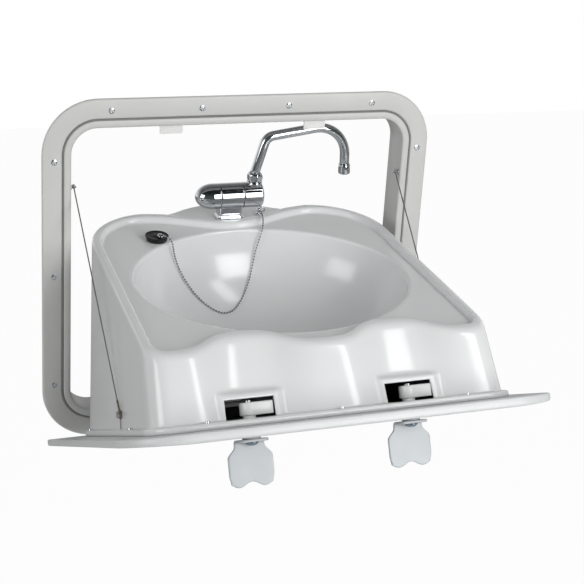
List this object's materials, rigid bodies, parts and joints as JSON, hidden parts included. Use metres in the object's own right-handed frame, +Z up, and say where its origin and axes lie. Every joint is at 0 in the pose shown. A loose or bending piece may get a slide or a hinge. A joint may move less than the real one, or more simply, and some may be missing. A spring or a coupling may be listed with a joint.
{
  "type": "folding wall sink",
  "caption": "Wall-mounted folding sink: a frame round a wall opening, and a hinged door that carries a white basin with a tap, folds up into the wall and is held by turn latches.",
  "frame": {"origin": "middle of the wall plane behind the frame's flange", "axes": "+X to the right seen from the front, +Y into the wall, +Z up"},
  "size_m": [0.5, 0.5019, 0.443],
  "materials": {
    "frame_paint": "satin off-white",
    "door_paint": "satin off-white",
    "white_plastic": "glossy white",
    "cam_plastic": "semi-gloss pale grey",
    "handle_plastic": "semi-gloss pale blue-white",
    "grey_plastic": "moulded",
    "strike_paint": "satin white",
    "steel": "fine brushed",
    "chrome": "polished plating",
    "brass": "machined",
    "seal_rubber": "matt dark",
    "plug_rubber": "matt black"
  },
  "bodies": {
    "frame": {"wall_frame": "frame_paint", "frame_seal": "seal_rubber", "frame_screws": "steel", "strike_left": "strike_paint", "strike_right": "strike_paint", "strike_screws": "steel", "stay_eyes": "steel", "stay_balls": "steel", "hinge_frame_leaves": "steel", "hinge_frame_screws": "steel", "hinge_pins": "steel", "stay_wire_left": "steel", "stay_wire_right": "steel"},
    "door": {"door_panel": "door_paint", "hinge_door_leaves": "steel", "hinge_door_screws": "steel", "basin_moulding": "white_plastic", "basin_bowl": "white_plastic", "basin_screws": "steel", "drain_flange": "chrome", "drain_seal": "seal_rubber", "drain_nut": "grey_plastic", "waste_elbow": "grey_plastic", "latch_bushes": "grey_plastic", "stay_clamps": "steel", "stay_clamp_screws": "steel", "tap_base_plate": "chrome", "tap_body": "chrome", "tap_collar": "chrome", "spout_nut": "chrome", "tap_shank": "brass", "tap_washer": "seal_rubber", "tap_nut": "brass", "chain_stay": "chrome", "plug": "plug_rubber", "plug_stud": "chrome", "plug_ring": "chrome", "plug_chain": "chrome"},
    "latch_left": {"latch_cam_left": "cam_plastic", "latch_cam_screw_left": "steel", "latch_spindle_left": "steel", "latch_handle_left": "handle_plastic", "latch_screw_left": "steel"},
    "latch_right": {"latch_cam_right": "cam_plastic", "latch_cam_screw_right": "steel", "latch_spindle_right": "steel", "latch_handle_right": "handle_plastic", "latch_screw_right": "steel"},
    "tap_knob": {"tap_knob": "chrome"},
    "spout": {"spout_tube": "chrome", "spout_outlet": "chrome"}
  },
  "joints": [
    {"name": "door_fold", "type": "hinge", "parent": "frame", "child": "door", "pos_m": [0, -0.0061, -0.214], "axis": [-1, 0, 0], "range_deg": [0, 64.08], "deforming": ["stay_wire_left", "stay_wire_right"]},
    {"name": "latch_left_turn", "type": "hinge", "parent": "door", "child": "latch_left", "pos_m": [-0.0969, -0.3371, -0.05547], "axis": [0, -0.4371, -0.8994], "range_deg": [0, 90]},
    {"name": "latch_right_turn", "type": "hinge", "parent": "door", "child": "latch_right", "pos_m": [0.0885, -0.3371, -0.05547], "axis": [0, -0.4371, -0.8994], "range_deg": [0, 90]},
    {"name": "tap_knob_turn", "type": "hinge", "parent": "door", "child": "tap_knob", "pos_m": [-0.03, 0.03911, 0.07839], "axis": [1, 0, 0], "range_deg": [0, 90]},
    {"name": "spout_swivel", "type": "hinge", "parent": "door", "child": "spout", "pos_m": [0.0305, 0.04218, 0.04754], "axis": [0, 0.099, -0.9951], "range_deg": [0, 180]}
  ]
}
